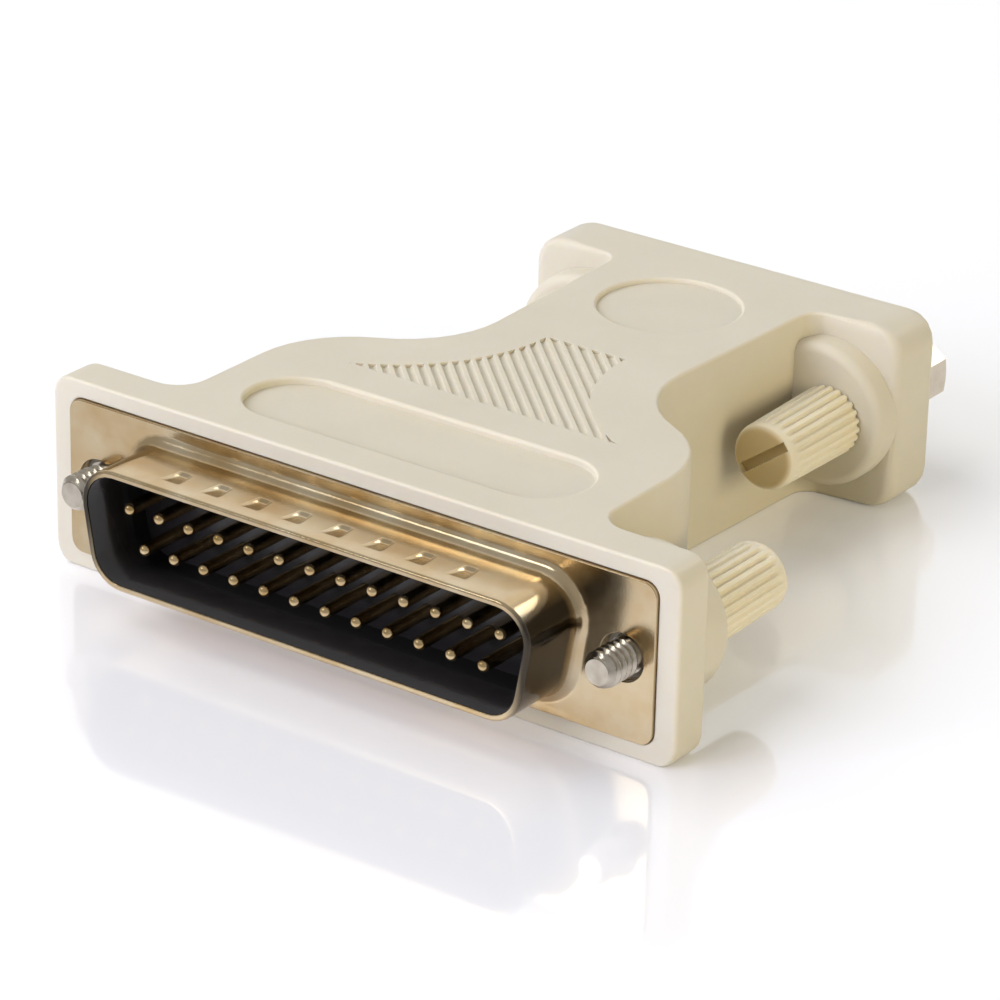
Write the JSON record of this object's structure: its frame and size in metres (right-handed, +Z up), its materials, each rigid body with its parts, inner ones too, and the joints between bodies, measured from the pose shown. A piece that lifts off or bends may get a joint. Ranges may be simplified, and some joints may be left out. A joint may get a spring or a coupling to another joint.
{
  "type": "serial adapter",
  "caption": "Moulded adapter with a wide pin plug at one end, a small socket at the other, a waisted grip between them and captive thumbscrews at both ends.",
  "frame": {"origin": "Middle of the bounding box on the underside", "axes": "+Y runs from the plug to the socket, +Z is up, on the wide side of the D shapes, and +X is to the right as the plug's face is seen from behind it along +Y"},
  "size_m": [0.056, 0.0644, 0.0152],
  "materials": {
    "beige_pvc": "fine satin moulding",
    "knob_plastic": "satin moulding",
    "plated_shell": "bright plating",
    "plain_steel": "nickel plating",
    "black_insulator": "satin moulding",
    "gold_contact": "thin gold plating",
    "wire_black": "smooth insulation",
    "wire_brown": "smooth insulation",
    "wire_red": "smooth insulation",
    "wire_orange": "smooth insulation",
    "wire_yellow": "smooth insulation",
    "wire_green": "smooth insulation",
    "wire_blue": "smooth insulation",
    "wire_violet": "smooth insulation",
    "wire_grey": "smooth insulation"
  },
  "bodies": {
    "adapter": {"housing": "beige_pvc", "plug_front_shell": "plated_shell", "plug_rear_shell": "plated_shell", "plug_front_insulator": "black_insulator", "plug_rear_insulator": "black_insulator", "plug_pins": "gold_contact", "socket_front_shell": "plated_shell", "socket_rear_shell": "plated_shell", "socket_front_insulator": "black_insulator", "socket_rear_insulator": "black_insulator", "socket_contacts": "gold_contact", "carrier_detect_wire": "wire_black", "receive_data_wire": "wire_brown", "transmit_data_wire": "wire_red", "terminal_ready_wire": "wire_orange", "signal_ground_wire": "wire_yellow", "data_set_ready_wire": "wire_green", "request_to_send_wire": "wire_blue", "clear_to_send_wire": "wire_violet", "ring_indicator_wire": "wire_grey", "left_jack_nut": "plain_steel", "right_jack_nut": "plain_steel"},
    "front_left_thumbscrew": {"front_left_knob": "knob_plastic", "front_left_screw": "plain_steel"},
    "front_right_thumbscrew": {"front_right_knob": "knob_plastic", "front_right_screw": "plain_steel"},
    "rear_left_thumbscrew": {"rear_left_knob": "knob_plastic", "rear_left_screw": "plain_steel"},
    "rear_right_thumbscrew": {"rear_right_knob": "knob_plastic", "rear_right_screw": "plain_steel"}
  },
  "joints": [
    {"name": "front_left_turn", "type": "hinge", "parent": "adapter", "child": "front_left_thumbscrew", "pos_m": [-0.02352, -0.01843, 0.0076], "axis": [0, -1, 0], "continuous": true},
    {"name": "front_right_turn", "type": "hinge", "parent": "adapter", "child": "front_right_thumbscrew", "pos_m": [0.02352, -0.01843, 0.0076], "axis": [0, -1, 0], "continuous": true},
    {"name": "rear_left_turn", "type": "hinge", "parent": "adapter", "child": "rear_left_thumbscrew", "pos_m": [-0.01249, 0.01802, 0.0076], "axis": [0, 1, 0], "continuous": true},
    {"name": "rear_right_turn", "type": "hinge", "parent": "adapter", "child": "rear_right_thumbscrew", "pos_m": [0.01249, 0.01802, 0.0076], "axis": [0, 1, 0], "continuous": true}
  ]
}
